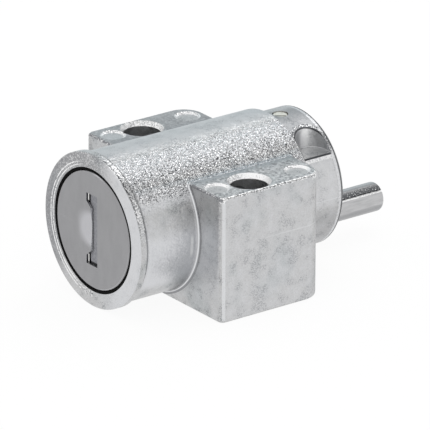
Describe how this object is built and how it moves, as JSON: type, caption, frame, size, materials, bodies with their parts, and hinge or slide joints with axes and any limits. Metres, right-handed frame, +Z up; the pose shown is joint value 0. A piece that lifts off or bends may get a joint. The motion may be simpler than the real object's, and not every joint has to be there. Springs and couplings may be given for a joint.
{
  "type": "battery lock cylinder",
  "caption": "Key-operated cylinder lock in a cast housing with two screw lugs; turning the key swings an off-centre drive pin at the rear.",
  "frame": {"origin": "on the mounting plane, midway between the two screw holes", "axes": "+X right as seen from the key side, +Y rearwards along the cylinder to the drive pin, +Z up from the mounting plane along the screw holes"},
  "size_m": [0.0298, 0.0466, 0.021],
  "materials": {
    "zinc_casting": "bright as-cast zinc alloy with a coarse cast grain",
    "driver_casting": "as-cast zinc alloy, smooth, with a fine parting line",
    "stainless_cap": "satin",
    "plated_steel": "plain plated",
    "spring_steel": "drawn wire",
    "brass_plug": "machined",
    "brass_pin": "turned, pale",
    "black_rubber": "moulded"
  },
  "bodies": {
    "housing": {"housing": "zinc_casting", "cylinder_sleeve": "plated_steel", "face_seal": "black_rubber", "retaining_pin": "brass_pin"},
    "plug": {"plug": "brass_plug", "face_cap": "stainless_cap", "driver": "driver_casting", "thrust_washer": "plated_steel", "shutter_pin": "plated_steel", "shutter_spring": "spring_steel", "retainer_spring": "spring_steel", "wafer_spring_1": "spring_steel", "wafer_spring_2": "spring_steel", "wafer_spring_3": "spring_steel", "wafer_spring_4": "spring_steel", "wafer_spring_5": "spring_steel", "wafer_spring_6": "spring_steel", "wafer_spring_7": "spring_steel"},
    "shutter": {"dust_shutter": "stainless_cap"},
    "retainer": {"plug_retainer": "brass_plug"},
    "wafer_1": {"wafer_1": "brass_plug"},
    "wafer_2": {"wafer_2": "brass_plug"},
    "wafer_3": {"wafer_3": "brass_plug"},
    "wafer_4": {"wafer_4": "brass_plug"},
    "wafer_5": {"wafer_5": "brass_plug"},
    "wafer_6": {"wafer_6": "brass_plug"},
    "wafer_7": {"wafer_7": "brass_plug"}
  },
  "joints": [
    {"name": "plug_turn", "type": "hinge", "parent": "housing", "child": "plug", "pos_m": [0, 0, 0.0105], "axis": [0, 1, 0], "range_deg": [0, 90]},
    {"name": "shutter_swing", "type": "hinge", "parent": "plug", "child": "shutter", "pos_m": [0.0022, -0.01515, 0.0105], "axis": [0, 0, -1], "range_deg": [0, 88], "stiffness_Nm_per_rad": 0.0006, "springref_deg": -28.65, "deforming": ["shutter_spring"]},
    {"name": "wafer_1_slide", "type": "slide", "parent": "plug", "child": "wafer_1", "axis": [0, 0, 1], "range_m": [0, 0.0006], "stiffness_N_per_m": 40, "springref_m": 0.0015, "deforming": ["wafer_spring_1"]},
    {"name": "wafer_2_slide", "type": "slide", "parent": "plug", "child": "wafer_2", "axis": [0, 0, -1], "range_m": [0, 0.0006], "stiffness_N_per_m": 40, "springref_m": 0.0015, "deforming": ["wafer_spring_2"]},
    {"name": "wafer_3_slide", "type": "slide", "parent": "plug", "child": "wafer_3", "axis": [0, 0, 1], "range_m": [0, 0.0006], "stiffness_N_per_m": 40, "springref_m": 0.0015, "deforming": ["wafer_spring_3"]},
    {"name": "wafer_4_slide", "type": "slide", "parent": "plug", "child": "wafer_4", "axis": [0, 0, -1], "range_m": [0, 0.0006], "stiffness_N_per_m": 40, "springref_m": 0.0015, "deforming": ["wafer_spring_4"]},
    {"name": "wafer_5_slide", "type": "slide", "parent": "plug", "child": "wafer_5", "axis": [0, 0, 1], "range_m": [0, 0.0006], "stiffness_N_per_m": 40, "springref_m": 0.0015, "deforming": ["wafer_spring_5"]},
    {"name": "wafer_6_slide", "type": "slide", "parent": "plug", "child": "wafer_6", "axis": [0, 0, -1], "range_m": [0, 0.0006], "stiffness_N_per_m": 40, "springref_m": 0.0015, "deforming": ["wafer_spring_6"]},
    {"name": "wafer_7_slide", "type": "slide", "parent": "plug", "child": "wafer_7", "axis": [0, 0, 1], "range_m": [0, 0.0006], "stiffness_N_per_m": 40, "springref_m": 0.0015, "deforming": ["wafer_spring_7"]},
    {"name": "retainer_slide", "type": "slide", "parent": "plug", "child": "retainer", "axis": [0, 0, 1], "range_m": [-0.0006, 0], "stiffness_N_per_m": 60, "springref_m": 0.001, "deforming": ["retainer_spring"]}
  ]
}
